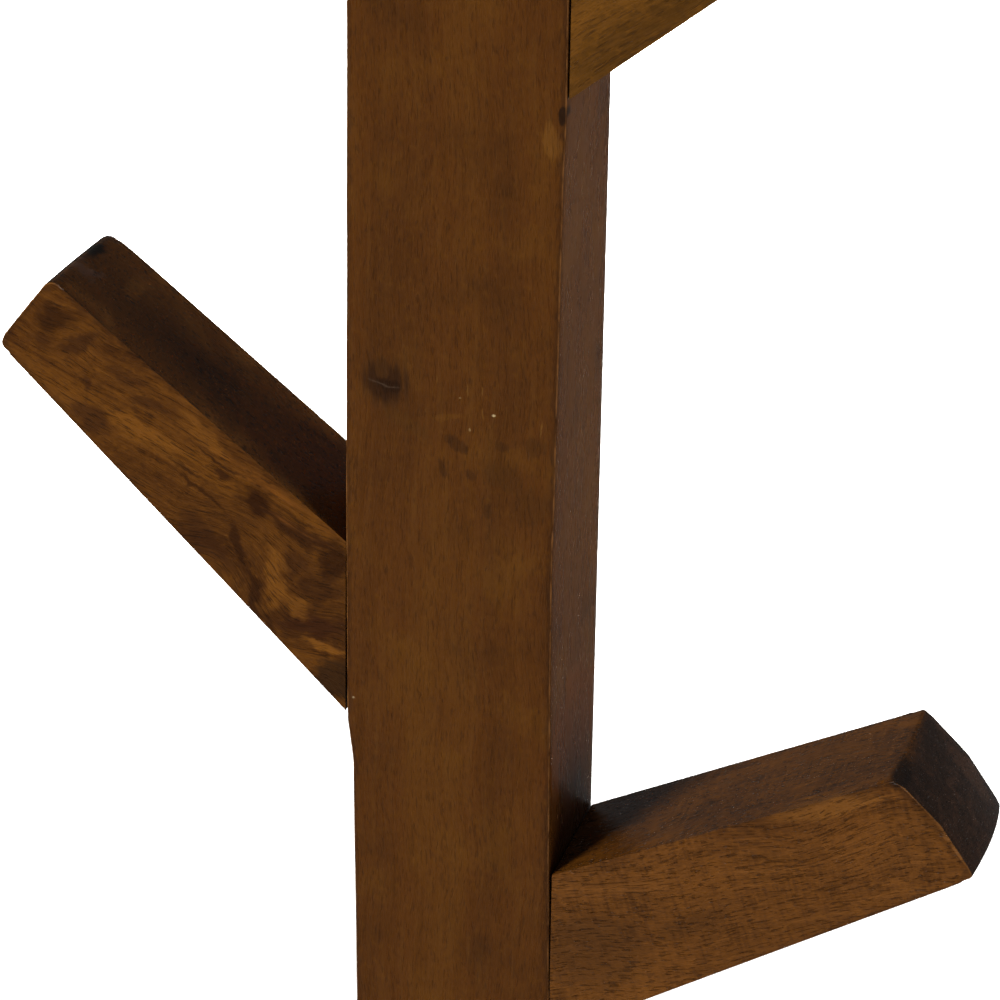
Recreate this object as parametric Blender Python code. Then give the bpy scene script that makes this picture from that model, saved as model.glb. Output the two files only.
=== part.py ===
"""A mug tree: a flat post on a base plate, with three slanted pegs up each side.

Metres, +Z up. The origin is on the ground under the middle of the post, the pegs point along X and the
front faces -Y. Post and pegs are cut from one board, so they share its thickness. Each peg is mitred
against the post's side and held by a pair of glued dowels. The post stands on two dowels and is pulled
down by one wood screw from below.
"""

import math

import bmesh
import bpy
from mathutils import Vector

# Post and base plate
BOARD = 0.0196  # thickness, front to back, of the board that the post and the pegs are cut from
POST_WIDTH = 0.028
POST_ABOVE_PEGS = 0.050  # from the middle of the highest peg's root to the post's top
BASE_LENGTH = 0.160  # along the pegs' direction
BASE_DEPTH = 0.120
BASE_THICKNESS = 0.020

# Pegs. Their edges are measured along themselves, from the post outwards.
LOWEST_PEG = 0.060  # middle of the lowest peg's root, above the base plate
PEG_SPACING = 0.132  # from one peg to the next on the same side
LEFT_RISE = 0.0444  # how much higher each left peg stands than the right peg of its pair
PEG_UNDER_EDGE = 0.0658
PEG_TAPER = math.radians(6.2)  # angle between the top and the underside
PEG_SETBACK = 0.0003  # of the pegs' front and back faces behind the post's
END_CROWN = 0.0008  # how far the sawn ends bulge
CROWN_STEPS = 6

# Each peg: name, side of the post (1 is right), step up the post, slope in degrees, height of its root on
# the post, length of its top edge. They were mitred by hand, so no two are quite the same.
PEGS = (
    ("right_lower_peg", 1, 0, 33.0, 0.0250, 0.0497),
    ("left_lower_peg", -1, 0, 38.6, 0.0246, 0.0501),
    ("right_middle_peg", 1, 1, 29.9, 0.0251, 0.0500),
    ("left_middle_peg", -1, 1, 40.8, 0.0245, 0.0504),
    ("right_upper_peg", 1, 2, 35.5, 0.0248, 0.0498),
    ("left_upper_peg", -1, 2, 37.2, 0.0247, 0.0502),
)

# Dowels, fluted so that glue can run along them
DOWEL_DIAMETER = 0.006
DOWEL_IN_POST = 0.012
DOWEL_IN_PEG = 0.010
DOWEL_IN_BASE = 0.012
DOWEL_IN_FOOT = 0.016  # how far a foot dowel goes up into the post's end grain
DOWEL_CHAMFER = 0.0006
FLUTE_DEPTH = 0.00025
FLUTES = 12

# Wood screw, head down
SCREW_LENGTH = 0.050
SCREW_DIAMETER = 0.0045  # of the shank and of the thread's crests
SCREW_CORE = 0.0032
SCREW_PITCH = 0.002
SCREW_THREADED = 0.034
SCREW_POINT = 0.006
SCREW_HEAD = 0.009
HEAD_RIM = 0.0004
CROSS_ACROSS = 0.0048
CROSS_SLOT = 0.0010
CROSS_DEPTH = 0.0018
COUNTERBORE = 0.004  # how far the screw's head sits inside the base plate

# Felt discs under the base plate
FELT_DIAMETER = 0.018
FELT_THICKNESS = 0.002
FELT_INSET = 0.018  # from the base plate's edges to each disc's middle

# Fits
GLUE_GAP = 0.0003  # between faces that are glued together
BORE_CLEARANCE = 0.0002  # all round a dowel or the screw
BORE_EXTRA = 0.001  # how much deeper a bore is than what goes into it
EASED = 0.0005  # radius of the sanded arrises
EASE_STEPS = 2
ROUND_SIDES = 24
SHARP = math.radians(30)

base_bottom = FELT_THICKNESS + GLUE_GAP
base_top = base_bottom + BASE_THICKNESS
foot = base_top + GLUE_GAP
screw_start = base_bottom + COUNTERBORE
bore_radius = DOWEL_DIAMETER / 2 + BORE_CLEARANCE
foot_dowel_out = (SCREW_DIAMETER + POST_WIDTH) / 4  # midway between the screw and the post's side


def root_level(side, step):
    """Height above the ground of the middle of a peg's root."""
    return base_top + LOWEST_PEG + step * PEG_SPACING + (LEFT_RISE if side < 0 else 0)


post_length = max(root_level(side, step) for _, side, step, *_ in PEGS) + POST_ABOVE_PEGS - foot


def linear(channel):
    return channel / 12.92 if channel <= 0.04045 else ((channel + 0.055) / 1.055) ** 2.4


def finish(name, colour, roughness, metallic=0.0):
    made = bpy.data.materials.new(name)
    made.use_nodes = True
    shader = made.node_tree.nodes["Principled BSDF"]
    channels = [linear(int(colour[i : i + 2], 16) / 255) for i in (0, 2, 4)]
    shader.inputs["Base Color"].default_value = (*channels, 1)
    shader.inputs["Roughness"].default_value = roughness
    shader.inputs["Metallic"].default_value = metallic
    made.diffuse_color = (*channels, 1)
    return made


def add(name, shape, material, parent=None):
    """Makes an object of the bmesh, with its faces turned outwards."""
    bmesh.ops.recalc_face_normals(shape, faces=shape.faces)
    mesh = bpy.data.meshes.new(name)
    shape.to_mesh(mesh)
    shape.free()
    mesh.shade_smooth()
    mesh.set_sharp_from_angle(angle=SHARP)
    made = bpy.data.objects.new(name, mesh)
    bpy.context.scene.collection.objects.link(made)
    made.parent = parent
    if material:
        mesh.materials.append(material)
    return made


def add_cutter(name, shape, parent=None):
    made = add(name, shape, None, parent)
    made.hide_render = True
    made.display_type = "WIRE"
    return made


def cut(target, cutter):
    modifier = target.modifiers.new("Cut by " + cutter.name, "BOOLEAN")
    modifier.operation = "DIFFERENCE"
    modifier.solver = "EXACT"
    modifier.object = cutter


def prism(outline, half_depth):
    """A bmesh of the outline, (x, z) points in order, extruded from -half_depth to half_depth along Y."""
    shape = bmesh.new()
    face = shape.faces.new([shape.verts.new((x, -half_depth, z)) for x, z in outline])
    swept = bmesh.ops.extrude_face_region(shape, geom=[face])["geom"]
    moved = [v for v in swept if isinstance(v, bmesh.types.BMVert)]
    bmesh.ops.translate(shape, verts=moved, vec=(0, 2 * half_depth, 0))
    return shape


def ease(shape, crisp):
    """Rounds the sharp edges, apart from those that crisp(edge's two points) keeps for a tight joint."""
    bmesh.ops.recalc_face_normals(shape, faces=shape.faces)
    edges = [e for e in shape.edges if e.calc_face_angle() > SHARP and not crisp([v.co for v in e.verts])]
    bmesh.ops.bevel(
        shape, geom=edges, offset=EASED, segments=EASE_STEPS, profile=0.5, affect="EDGES", clamp_overlap=True
    )
    return shape


def turned(profile, sides=ROUND_SIDES, wave=None):
    """A bmesh turned round Z from profile, (radius, z) points from bottom to top, with flat ends.
    wave(radius, z, share of a turn) can change a point's radius, for flutes or a thread."""
    shape = bmesh.new()
    rings = []
    for radius, z in profile:
        ring = []
        for side in range(sides):
            share = side / sides
            angle = 2 * math.pi * share
            reach = wave(radius, z, share) if wave else radius
            ring.append(shape.verts.new((reach * math.cos(angle), reach * math.sin(angle), z)))
        rings.append(ring)
    for lower, upper in zip(rings, rings[1:]):
        for i in range(sides):
            j = (i + 1) % sides
            shape.faces.new((lower[i], lower[j], upper[j], upper[i]))
    shape.faces.new(rings[0])
    shape.faces.new(rings[-1])
    return shape


def fluted(radius, z, share):
    return radius - FLUTE_DEPTH * (round(share * 2 * FLUTES) % 2)


def dowel(length):
    """A fluted dowel standing on the origin along +Z."""
    radius = DOWEL_DIAMETER / 2
    small = radius - DOWEL_CHAMFER
    profile = [(small, 0), (radius, DOWEL_CHAMFER), (radius, length - DOWEL_CHAMFER), (small, length)]
    return turned(profile, sides=2 * FLUTES, wave=fluted)


def bore(low, high):
    return turned([(bore_radius, low), (bore_radius, high)])


def screw_body(clearance=0.0):
    """The plain outer shape of the screw's head and shank, from the head's face at z = 0 upwards."""
    head = SCREW_HEAD / 2 + clearance
    shank = SCREW_DIAMETER / 2 + clearance
    return [(head, 0), (head, HEAD_RIM), (shank, HEAD_RIM + head - shank)]


def screw_profile():
    """The whole screw, with rows close enough to carry its thread."""
    thread_start = SCREW_LENGTH - SCREW_THREADED
    row = SCREW_PITCH / 4
    rows = round(SCREW_THREADED / row)
    crest = SCREW_DIAMETER / 2
    threaded = [(crest, thread_start + i * row) for i in range(rows)]
    return screw_body() + threaded + [(SCREW_CORE / 8, SCREW_LENGTH)]


def thread(radius, z, share):
    """Cuts the shank's radius down to the thread's root between its crests, and to a point at the tip."""
    start = SCREW_LENGTH - SCREW_THREADED
    if z <= start or z >= SCREW_LENGTH:
        return radius
    turn = (z / SCREW_PITCH - share) % 1
    tooth = abs(2 * turn - 1)
    depth = (SCREW_DIAMETER - SCREW_CORE) / 2
    pointed = min(1, (SCREW_LENGTH - z) / SCREW_POINT)
    return (radius - depth * (1 - tooth)) * pointed


def cross():
    """The driver's cross, open below the head's face."""
    shape = bmesh.new()
    arm = CROSS_ACROSS / 2
    half = CROSS_SLOT / 2
    corners = [(arm, -half), (arm, half), (half, half), (half, arm), (-half, arm), (-half, half)]
    corners += [(-x, -y) for x, y in corners]
    face = shape.faces.new([shape.verts.new((x, y, -CROSS_DEPTH)) for x, y in corners])
    swept = bmesh.ops.extrude_face_region(shape, geom=[face])["geom"]
    moved = [v for v in swept if isinstance(v, bmesh.types.BMVert)]
    bmesh.ops.translate(shape, verts=moved, vec=(0, 0, 2 * CROSS_DEPTH))
    return shape


def peg_outline(slope, root_height, top_edge):
    """The peg's outline seen from the front, outwards along +X, from the middle of its root on the post."""
    top_slope, under_slope = slope - PEG_TAPER / 2, slope + PEG_TAPER / 2
    top_root = Vector((0, root_height / 2))
    under_root = Vector((0, -root_height / 2))
    top_tip = top_root + top_edge * Vector((math.cos(top_slope), math.sin(top_slope)))
    under_tip = under_root + PEG_UNDER_EDGE * Vector((math.cos(under_slope), math.sin(under_slope)))
    across = top_tip - under_tip
    outwards = Vector((across.y, -across.x)).normalized()
    points = [
        Vector((GLUE_GAP, top_root.y + GLUE_GAP * math.tan(top_slope))),
        Vector((GLUE_GAP, under_root.y + GLUE_GAP * math.tan(under_slope))),
    ]
    for step in range(CROWN_STEPS + 1):
        share = step / CROWN_STEPS
        bulge = END_CROWN * (1 - (2 * share - 1) ** 2)
        points.append(under_tip + share * across + bulge * outwards)
    return points


for leftover in list(bpy.data.objects):
    bpy.data.objects.remove(leftover)

stained_hardwood = finish("stained_hardwood", "54321a", 0.42)
beech = finish("beech_dowel", "c9a06c", 0.6)
zinc_steel = finish("zinc_plated_steel", "a9abad", 0.35, 1.0)
felt = finish("brown_felt", "3a2c22", 0.95)

tree = bpy.data.objects.new("mug_tree", None)
bpy.context.scene.collection.objects.link(tree)

# Base plate, with the screw's counterbore and countersink through its middle
half_length, half_thickness = BASE_LENGTH / 2, BASE_THICKNESS / 2
plate = prism(
    [
        (-half_length, -half_thickness),
        (half_length, -half_thickness),
        (half_length, half_thickness),
        (-half_length, half_thickness),
    ],
    BASE_DEPTH / 2,
)
base_plate = add("base_plate", ease(plate, lambda ends: False), stained_hardwood, tree)
base_plate.location.z = base_bottom + half_thickness
(head_bore, _), *countersink, (shank_bore, neck) = screw_body(BORE_CLEARANCE)
countersink = [(head_bore, -2 * COUNTERBORE), *countersink, (shank_bore, neck), (shank_bore, BASE_THICKNESS)]
screw_bore = add_cutter("screw_bore", turned(countersink), tree)
screw_bore.location.z = screw_start
cut(base_plate, screw_bore)

# Post
half_width = POST_WIDTH / 2
post_shape = prism(
    [(-half_width, 0), (half_width, 0), (half_width, post_length), (-half_width, post_length)], BOARD / 2
)
post = add("post", ease(post_shape, lambda ends: max(p.z for p in ends) < EASED), stained_hardwood, tree)
post.location.z = foot

# The screw's way up into the post's end grain is a plain bore, so that its thread stands clear
pilot = turned([(SCREW_DIAMETER / 2 + BORE_CLEARANCE, z) for z in (0, SCREW_LENGTH + BORE_EXTRA)])
screw_pilot = add_cutter("screw_pilot", pilot, tree)
screw_pilot.location.z = screw_start
cut(post, screw_pilot)

# Screw
foot_screw = add("foot_screw", turned(screw_profile(), sides=12, wave=thread), zinc_steel, tree)
foot_screw.location.z = screw_start
driver_cross = add_cutter("driver_cross", cross(), foot_screw)
cut(foot_screw, driver_cross)

# Foot dowels
for side, name in ((-1, "left"), (1, "right")):
    foot_dowel = add(name + "_foot_dowel", dowel(DOWEL_IN_BASE + DOWEL_IN_FOOT), beech, tree)
    foot_dowel.location = (side * foot_dowel_out, 0, foot - DOWEL_IN_BASE)
    foot_bore = bore(-BORE_EXTRA, DOWEL_IN_BASE + DOWEL_IN_FOOT + BORE_EXTRA)
    foot_cutter = add_cutter(name + "_foot_bore", foot_bore, foot_dowel)
    cut(base_plate, foot_cutter)
    cut(post, foot_cutter)

# Pegs. Both dowels of a peg lie level, on the middle of its section half way along their seat in it.
for name, side, step, slope_degrees, root_height, top_edge in PEGS:
    slope = math.radians(slope_degrees)
    peg_shape = prism(peg_outline(slope, root_height, top_edge), BOARD / 2 - PEG_SETBACK)
    peg = add(name, ease(peg_shape, lambda ends: max(p.x for p in ends) < EASED), stained_hardwood, tree)
    peg.location = (side * half_width, 0, root_level(side, step))
    peg.rotation_euler.z = 0 if side > 0 else math.pi
    dowel_height = math.tan(slope) * DOWEL_IN_PEG / 2
    for across, place in ((-side, "front"), (side, "back")):
        peg_dowel = add(f"{name}_{place}_dowel", dowel(DOWEL_IN_POST + DOWEL_IN_PEG), beech, peg)
        peg_dowel.location = (-DOWEL_IN_POST, across * BOARD / 4, dowel_height)
        peg_dowel.rotation_euler.y = math.pi / 2
        peg_bore = bore(-BORE_EXTRA, DOWEL_IN_POST + DOWEL_IN_PEG + BORE_EXTRA)
        peg_cutter = add_cutter(f"{name}_{place}_bore", peg_bore, peg_dowel)
        cut(peg, peg_cutter)
        cut(post, peg_cutter)

# Felt discs, glued under the corners of the base plate
for x_side, x_name in ((-1, "left"), (1, "right")):
    for y_side, y_name in ((-1, "front"), (1, "back")):
        disc = turned([(FELT_DIAMETER / 2, 0), (FELT_DIAMETER / 2, FELT_THICKNESS)])
        felt_disc = add(f"{y_name}_{x_name}_felt_disc", disc, felt, tree)
        felt_disc.location.x = x_side * (half_length - FELT_INSET)
        felt_disc.location.y = y_side * (BASE_DEPTH / 2 - FELT_INSET)
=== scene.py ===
"""The looks of the mug tree, built round its CAD model: metres, +Z up, the front faces -Y."""

import math

import bmesh
import bpy
from mathutils import Matrix, Vector, noise


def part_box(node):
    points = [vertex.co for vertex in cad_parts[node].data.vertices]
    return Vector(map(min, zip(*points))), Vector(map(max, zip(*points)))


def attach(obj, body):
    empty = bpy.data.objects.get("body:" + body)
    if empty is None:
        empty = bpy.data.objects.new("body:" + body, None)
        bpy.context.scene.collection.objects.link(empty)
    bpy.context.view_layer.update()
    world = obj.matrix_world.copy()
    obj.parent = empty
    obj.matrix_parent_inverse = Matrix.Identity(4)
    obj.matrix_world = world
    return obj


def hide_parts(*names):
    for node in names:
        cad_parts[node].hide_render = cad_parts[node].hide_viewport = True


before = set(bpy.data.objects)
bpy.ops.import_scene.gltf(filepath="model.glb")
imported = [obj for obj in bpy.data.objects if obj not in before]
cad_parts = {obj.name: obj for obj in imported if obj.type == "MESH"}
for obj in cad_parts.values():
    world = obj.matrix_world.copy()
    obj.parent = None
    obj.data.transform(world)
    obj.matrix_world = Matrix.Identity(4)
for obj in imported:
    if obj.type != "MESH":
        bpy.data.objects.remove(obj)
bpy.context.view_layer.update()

# ---- Base plate -------------------------------------------------------------------------------------
# A slab of acacia with its grain along its length, sawn, planed and sanded round the arrises. A bore with
# a deeper seat for the screw's head goes up through its middle, as the screw is driven from below.

PLATE_ARRIS = 0.0012  # rounding of the sanded arrises
PLATE_PITCH = 0.008  # between the rows of points along and across it
MARGIN = 0.0012  # from an arris to the first row of points inside it
ARRIS_STEPS = 3
SHARP = math.radians(40)  # an edge that turns further than this is an arris
FACES_UP = 0.9  # the least z of the normal of a face that looks up
SLIVER = 0.00003  # points closer together than this are one
SCREW_SHANK_BORE = 0.00245  # radius
SCREW_HEAD_BORE = 0.0047  # radius
SCREW_SEAT_DEPTH = 0.0044  # of the straight part of the seat, before it narrows at 45 degrees
BORE_SIDES = 48
PORE_DARK = "1c0f06"  # what the stain leaves in an open pore
ALONG_GRAIN = 1.4  # how much the streaks of the grain feather the edge of a mark
THROUGH = 2.5  # how much broader the figure is through the board than across its front


def sawn_block(name, low, high):
    """A block of wood between two corners, left in edit mode."""
    bpy.ops.object.select_all(action="DESELECT")
    bpy.ops.mesh.primitive_cube_add(size=1, location=(low + high) / 2, scale=high - low)
    block = bpy.context.object
    block.name = block.data.name = name
    bpy.ops.object.transform_apply(location=True, rotation=True, scale=True)
    bpy.ops.object.mode_set(mode="EDIT")
    return block


def pick(block, kind, wanted):
    """Selects, in edit mode, the points ("VERT"), edges or faces that wanted() says yes to."""
    bpy.ops.mesh.select_mode(type=kind)
    bpy.ops.mesh.select_all(action="DESELECT")
    shape = bmesh.from_edit_mesh(block.data)
    for item in {"VERT": shape.verts, "EDGE": shape.edges, "FACE": shape.faces}[kind]:
        item.select_set(wanted(item))
    bmesh.update_edit_mesh(block.data)


def score(place, across):
    """Adds a row of points where a plane meets the block, to shape it by later."""
    bpy.ops.mesh.select_all(action="SELECT")
    bpy.ops.mesh.bisect(plane_co=place, plane_no=across)


def score_box(low, high, margin):
    """Adds a row of points just inside each arris of an upright block."""
    for axis in range(3):
        across = Vector((0, 0, 0))
        across[axis] = 1
        for edge, inwards in ((low, margin), (high, -margin)):
            score(edge + across * inwards, across)


def draw_out(height, widen=1.0):
    """Extrudes the selected end upwards and widens it about the Z axis."""
    bpy.ops.mesh.extrude_region_move(TRANSFORM_OT_translate={"value": (0, 0, height)})
    bpy.ops.transform.resize(value=(widen, widen, 1), center_override=(0, 0, 0))


def is_sharp(edge):
    return len(edge.link_faces) == 2 and edge.calc_face_angle() > SHARP


def sand_arrises(block, radius, wanted=lambda edge: True):
    """Rounds the sharp edges and writes, as an attribute, where the stain is rubbed thin there and where
    the arrises get their painted highlight and painted shade.
    """
    bpy.ops.mesh.select_all(action="SELECT")
    bpy.ops.mesh.remove_doubles(threshold=SLIVER)
    pick(block, "EDGE", lambda edge: is_sharp(edge) and wanted(edge))
    bpy.ops.mesh.bevel(offset=radius, segments=ARRIS_STEPS, affect="EDGES")
    shape = bmesh.from_edit_mesh(block.data)
    arris_wear_and_light = shape.verts.layers.float.new("arris_wear_and_light")
    for point in shape.verts:
        point[arris_wear_and_light] = sum(face.select for face in point.link_faces) / len(point.link_faces)
    bmesh.update_edit_mesh(block.data)


def finish_mesh(piece):
    """Leaves edit mode, shades the piece, and hands it to the frame."""
    bpy.ops.mesh.select_all(action="SELECT")
    bpy.ops.mesh.remove_doubles(threshold=SLIVER)
    bpy.ops.mesh.dissolve_degenerate(threshold=SLIVER)
    bpy.ops.mesh.normals_make_consistent(inside=False)
    bpy.ops.object.mode_set(mode="OBJECT")
    bpy.ops.object.shade_smooth_by_angle(angle=SHARP)
    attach(piece, "root")


def cut_out(piece, cutter, name):
    """Cuts the shape of a cutter out of a piece, for good."""
    bpy.context.view_layer.objects.active = piece
    cut = piece.modifiers.new(name, "BOOLEAN")
    cut.object = cutter
    cut.solver = "EXACT"
    bpy.ops.object.modifier_apply(modifier=cut.name)


def put(tree, kind, inputs=(), give=0, **settings):
    """Adds a shader node with its settings, fills its inputs with numbers, colours or other nodes' outputs,
    and gives back one of its own outputs."""
    made = tree.nodes.new("ShaderNode" + kind)
    for name, value in settings.items():
        setattr(made, name, value)
    for socket, value in dict(inputs).items():
        if isinstance(value, bpy.types.NodeSocket):
            tree.links.new(value, made.inputs[socket])
        else:
            made.inputs[socket].default_value = value
    return made.outputs[give]


def colour(hexes):
    """The linear colour of an sRGB hex value."""
    channels = [int(hexes[i : i + 2], 16) / 255 for i in (0, 2, 4)]
    return (*(c / 12.92 if c <= 0.04045 else ((c + 0.055) / 1.055) ** 2.4 for c in channels), 1)


def new_material(name, roughness, ior, metallic=0.0):
    made = bpy.data.materials.new(name)
    made.use_nodes = True
    shader = made.node_tree.nodes["Principled BSDF"]
    shader.inputs["Roughness"].default_value = roughness
    shader.inputs["IOR"].default_value = ior
    shader.inputs["Metallic"].default_value = metallic
    return made, made.node_tree, shader


def lay(tree, under, over, where, low, high, share):
    """Lays a colour over another as a value goes from low to high, up to share of its full strength."""
    spread = {"Value": where, "From Min": low, "From Max": high, "To Max": share}
    strength = put(tree, "MapRange", spread, interpolation_type="SMOOTHSTEP")
    return put(tree, "Mix", {0: strength, 6: under, 7: colour(over)}, give=2, data_type="RGBA")


def grain_figure(tree, place, along, across, detail, roughness, offset=0.0):
    """A figure drawn out along the grain: its features are along and across metres in size. The board is
    cut so that they are broader through its thickness than on its front."""
    size = (1 / along, 1 / (THROUGH * across), 1 / across)
    drawn_out = put(tree, "Mapping", {"Vector": place, "Location": [offset] * 3, "Scale": size})
    features = {"Vector": drawn_out, "Scale": 1.0, "Detail": detail, "Roughness": roughness}
    return put(tree, "TexNoise", features)


def near_spot(tree, place, centre, half_size, tilt=0.0):
    """How far a place is from a spot in the board: 0 at its middle and 1 at its edge."""
    tilted = (0, math.radians(-tilt), 0)
    spot = {"Vector": place, "Location": centre, "Rotation": tilted, "Scale": half_size}
    inside = put(tree, "Mapping", spot, vector_type="TEXTURE")
    return put(tree, "VectorMath", {0: inside}, give="Value", operation="LENGTH")


def curl(tree, place, centre, reach, degrees):
    """Turns the grain round a spot, as it curls past a branch. It runs straight again at reach."""
    away = near_spot(tree, place, centre, (reach, 4 * reach, reach))
    bend = {"Value": away, "From Min": 1.0, "From Max": 0.0, "To Max": math.radians(degrees)}
    angle = put(tree, "MapRange", bend, interpolation_type="SMOOTHSTEP")
    turn = {"Vector": place, "Center": centre, "Axis": (0, 1, 0), "Angle": angle}
    return put(tree, "VectorRotate", turn, rotation_type="AXIS_ANGLE")


# Acacia, stained walnut brown and lacquered in satin. The stain sinks into open pores as short dark lines
# and leaves the wood's own light and dark bands; end grain drinks more and turns nearly black; the arrises
# are rubbed back to golden wood, a colour that is partly painted highlight, with a line of painted shade
# along them. Bands are 3 to 8 mm wide and pores 0.5 to 3 mm long. Real fibres are under 0.05 mm thick,
# too fine to show, so they are drawn as bundles 0.2 mm thick.
def stained_acacia(name, slope, seed, light, middle, dark, **figure):
    """The grain runs at slope, in degrees above +X in the front's plane. figure overrides what is usual."""
    usual = dict(
        bands=0.40,  # how strongly the light and dark bands show, then the rest, from coarse to fine
        clouds=0.35,
        streaks=0.30,
        fibres=0.30,
        specks=0.30,
        pores=0.35,
        pore_size=(0.0030, 0.00030),  # length and spacing across
        fine_pores=0.40,
        ripple=0.0,  # cross ripple, where the fibres wave
        wander=0.003,  # how far the grain strays from a straight line, in metres
        curls=(),  # where the grain curls: the middle, how far it reaches and by how many degrees
        marks=(),  # what sits at one place, also painted light and shade: its colour, strength, middle, half size and tilt in degrees
        ragged=0.004,  # how far the marks' outlines stray, in metres
        feather=0.65,  # how gradually they fade, as a share of their size
        faces=(),  # a face painted lighter, as painted light: its direction, two colours, how much they cover
        sheen=0.30,  # of the lacquer
        relief=0.4,  # how far the grain stands up under it
    )
    look = {**usual, **figure}
    made, tree, shader = new_material(name, 0.28, 1.46)
    shader.inputs["Specular IOR Level"].default_value = look["sheen"]
    local = put(tree, "TexCoord", give="Object")
    curled = local
    for centre, reach, degrees in look["curls"]:
        curled = curl(tree, curled, centre, reach, degrees)
    sloped = (0, math.radians(slope), 0)
    turn = {"Vector": curled, "Rotation": sloped, "Location": (seed, 2 * seed, -seed)}
    straight = put(tree, "Mapping", turn)
    drift = put(tree, "TexNoise", {"Vector": straight, "Scale": 30.0, "Detail": 1.0}, give="Color")
    wander = look["wander"]
    stray = {0: drift, 1: (0, 2 * wander, 2 * wander), 2: (0, -wander, -wander)}
    sway = put(tree, "VectorMath", stray, operation="MULTIPLY_ADD")
    place = put(tree, "VectorMath", {0: straight, 1: sway}, operation="ADD")

    band = grain_figure(tree, place, 0.080, 0.008, 2.0, 0.5)
    streak = grain_figure(tree, place, 0.016, 0.0009, 4.0, 0.65)
    fibre = grain_figure(tree, place, 0.0030, 0.00020, 2.0, 0.6)
    cloud = put(tree, "TexNoise", {"Vector": straight, "Scale": 90.0, "Detail": 6.0, "Roughness": 0.6})
    speck = put(tree, "TexNoise", {"Vector": straight, "Scale": 1100.0, "Detail": 2.0, "Roughness": 0.6})
    pore = grain_figure(tree, place, *look["pore_size"], 1.0, 0.5, offset=7.0)
    fine_pore = grain_figure(tree, place, 0.0010, 0.00016, 1.0, 0.5, offset=11.0)
    tone = colour(middle)
    # what each layer follows, the limits it comes in between, its colour and its strength
    layers = (
        (band, 0.46, 0.74, light, look["bands"]),
        (band, 0.52, 0.28, dark, look["bands"]),
        (cloud, 0.50, 0.72, light, look["clouds"]),
        (cloud, 0.50, 0.28, dark, look["clouds"]),
        (streak, 0.52, 0.70, light, look["streaks"]),
        (streak, 0.48, 0.30, dark, look["streaks"]),
        (fibre, 0.54, 0.70, light, look["fibres"]),
        (fibre, 0.46, 0.30, dark, look["fibres"]),
        (speck, 0.54, 0.70, light, look["specks"]),
        (speck, 0.46, 0.30, dark, look["specks"]),
    )
    for follows, low, high, over, share in layers:
        tone = lay(tree, tone, over, follows, low, high, share)
    if look["ripple"]:
        wave = grain_figure(tree, place, 0.00045, 0.0035, 1.0, 0.5, offset=3.0)
        patch = put(tree, "TexNoise", {"Vector": straight, "Scale": 60.0, "Detail": 1.0})
        shown = put(tree, "Math", {0: wave, 1: patch}, operation="MULTIPLY")
        tone = lay(tree, tone, light, shown, 0.20, 0.36, look["ripple"])

    # painted light: a face, picked by the way it faces, gets lighter clouded colours for light that falls
    # on it
    facing = put(tree, "TexCoord", give="Normal")
    for direction, low_tone, high_tone, share in look["faces"]:
        compared = {0: facing, 1: direction}
        towards = put(tree, "VectorMath", compared, give="Value", operation="DOT_PRODUCT")
        blotch = put(tree, "TexNoise", {"Vector": local, "Scale": 110.0, "Detail": 5.0, "Distortion": 0.8})
        painted_face_light = lay(tree, colour(low_tone), high_tone, blotch, 0.46, 0.60, 1.0)
        cover = {"Value": towards, "From Min": 0.85, "From Max": 0.97, "To Max": share}
        cover = put(tree, "MapRange", cover, interpolation_type="SMOOTHSTEP")
        tone = put(tree, "Mix", {0: cover, 6: tone, 7: painted_face_light}, give=2, data_type="RGBA")

    # the ends, where the grain is cut across and drinks the stain
    grain = (math.cos(math.radians(slope)), 0, math.sin(math.radians(slope)))
    along = put(tree, "VectorMath", {0: facing, 1: grain}, give="Value", operation="DOT_PRODUCT")
    cut_across = put(tree, "Math", {0: along}, operation="ABSOLUTE")
    rings = put(tree, "TexNoise", {"Vector": straight, "Scale": 420.0, "Detail": 5.0, "Roughness": 0.65})
    end_tone = lay(tree, colour("1f140e"), "3a261b", rings, 0.45, 0.75, 1.0)
    soaked = {"Value": cut_across, "From Min": 0.62, "From Max": 0.80, "To Max": 0.95}
    soaked = put(tree, "MapRange", soaked, interpolation_type="SMOOTHSTEP")
    tone = put(tree, "Mix", {0: soaked, 6: tone, 7: end_tone}, give=2, data_type="RGBA")

    # growth, stain and wear that sit at one place, and painted light and shade laid the same way. Their
    # edges are feathered along the grain.
    if look["marks"]:
        ragged, feather = look["ragged"], look["feather"]
        stray = put(tree, "TexNoise", {"Vector": local, "Scale": 260.0, "Detail": 4.0}, give="Color")
        stray = {0: stray, 1: (ragged, 0, ragged), 2: (-ragged / 2, 0, -ragged / 2)}
        stray = put(tree, "VectorMath", stray, operation="MULTIPLY_ADD")
        strayed = put(tree, "VectorMath", {0: local, 1: stray}, operation="ADD")
    for mark_colour, share, centre, half_size, tilt in look["marks"]:
        away = near_spot(tree, strayed, centre, half_size, tilt)
        feathered = put(tree, "Math", {0: streak, 1: -ALONG_GRAIN, 2: away}, operation="MULTIPLY_ADD")
        tone = lay(tree, tone, mark_colour, feathered, 0.125 + feather / 2, 0.125 - feather / 2, share)

    # open pores, short dark lines that keep to the grain
    tone = lay(tree, tone, PORE_DARK, pore, 0.61, 0.67, look["pores"])
    tone = lay(tree, tone, PORE_DARK, fine_pore, 0.62, 0.68, look["fine_pores"])

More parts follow.
